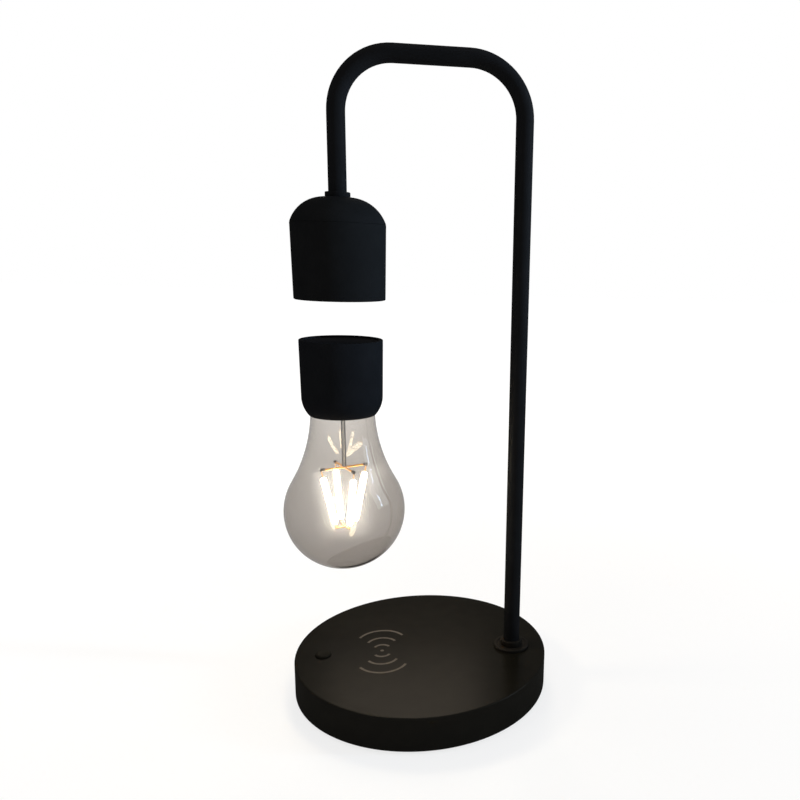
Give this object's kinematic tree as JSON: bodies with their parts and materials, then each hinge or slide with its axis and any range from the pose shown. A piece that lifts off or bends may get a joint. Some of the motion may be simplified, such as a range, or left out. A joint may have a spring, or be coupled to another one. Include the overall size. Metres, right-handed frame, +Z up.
{
  "type": "levitating table lamp",
  "caption": "Table lamp with a bent tube on a round charging base; a filament bulb with a magnet cap floats and spins under a magnet head.",
  "frame": {"origin": "middle of the base's anti-slip pad, on the surface that the lamp stands on", "axes": "+Z up; +X from the base's axis to the post, in the plane of the arm; +Y to the rear wall with the power socket"},
  "size_m": [0.135, 0.132, 0.3183],
  "materials": {
    "base_black": "fine matt moulded black with a warm cast",
    "mark_print": "flush grey-brown inlay",
    "plate_black": "plain moulded black",
    "pad_rubber": "foamed anti-slip rubber",
    "steel": "zinc-plated steel",
    "board_green": "green circuit board",
    "chip_black": "moulded package",
    "ferrite": "sintered dark grey",
    "capacitor_can": "drawn can",
    "nylon": "natural nylon",
    "socket_black": "moulded black",
    "contact_metal": "nickel-plated",
    "wire_jacket": "extruded red jacket",
    "copper": "enamelled copper winding",
    "cable_black": "extruded black jacket",
    "tube_black": "satin black paint",
    "fitting_black": "satin black paint",
    "head_black": "satin black with a cool sheen",
    "cap_black": "satin black with a cool sheen",
    "button_black": "moulded black",
    "magnet_nickel": "nickel-plated magnet",
    "bulb_glass": "clear blown glass",
    "stem_glass": "clear drawn glass",
    "lead_metal": "drawn nickel wire",
    "spider_gold": "gold-coloured wire",
    "tip_dark": "dark crimped sleeve",
    "filament_glow": "glowing phosphor"
  },
  "bodies": {
    "lamp_frame": {"base_cover": "base_black", "charging_mark": "mark_print", "bottom_plate": "plate_black", "bottom_screws": "steel", "anti_slip_pad": "pad_rubber", "ballast_plate": "steel", "main_board": "board_green", "board_screws": "steel", "board_chips": "chip_black", "board_inductors": "ferrite", "board_capacitors": "capacitor_can", "cable_header": "nylon", "power_jack": "socket_black", "jack_pin": "contact_metal", "power_leads": "wire_jacket", "switch_body": "chip_black", "charging_coil": "copper", "coil_ferrite": "ferrite", "coil_leads": "copper", "lamp_cable": "cable_black", "arm_tube": "tube_black", "base_flange": "fitting_black", "post_collar": "fitting_black", "post_washer": "steel", "post_nut": "steel", "head_collar": "fitting_black", "head_nut": "steel", "head_dome": "head_black", "head_sleeve": "head_black", "head_bottom_cover": "head_black", "power_coil": "copper", "hall_board": "board_green", "hall_sensor": "chip_black", "lift_bobbin": "nylon", "lift_core": "steel", "lift_coil": "copper", "bias_magnet": "magnet_nickel", "head_board": "board_green", "head_header": "nylon", "link_wires": "wire_jacket"},
    "button": {"button_cap": "button_black", "switch_plunger": "nylon"},
    "float_core": {"float_magnet": "magnet_nickel"},
    "bulb": {"bulb_cap": "cap_black", "cap_lid": "cap_black", "pickup_coil": "copper", "magnet_carrier": "nylon", "pickup_leads": "wire_jacket", "receiver_board": "board_green", "receiver_parts": "chip_black", "bulb_holder": "plate_black", "glass_bulb": "bulb_glass", "glass_stem": "stem_glass", "lead_wires": "lead_metal", "upper_spider": "spider_gold", "spider_tips": "tip_dark", "filament_pins": "spider_gold", "led_filaments": "filament_glow", "lower_spider": "spider_gold"}
  },
  "joints": [
    {"name": "button_press", "type": "slide", "parent": "lamp_frame", "child": "button", "axis": [0, 0, -1], "range_m": [0, 0.0006], "stiffness_N_per_m": 900, "springref_m": -0.0006},
    {"name": "bulb_float", "type": "slide", "parent": "lamp_frame", "child": "float_core", "axis": [0, 0, 1], "range_m": [-0.0465, 0.0188], "stiffness_N_per_m": 100, "springref_m": 0.00987},
    {"name": "bulb_spin", "type": "hinge", "parent": "float_core", "child": "bulb", "pos_m": [-0.039, 0, 0.12], "axis": [0, 0, 1], "continuous": true}
  ]
}
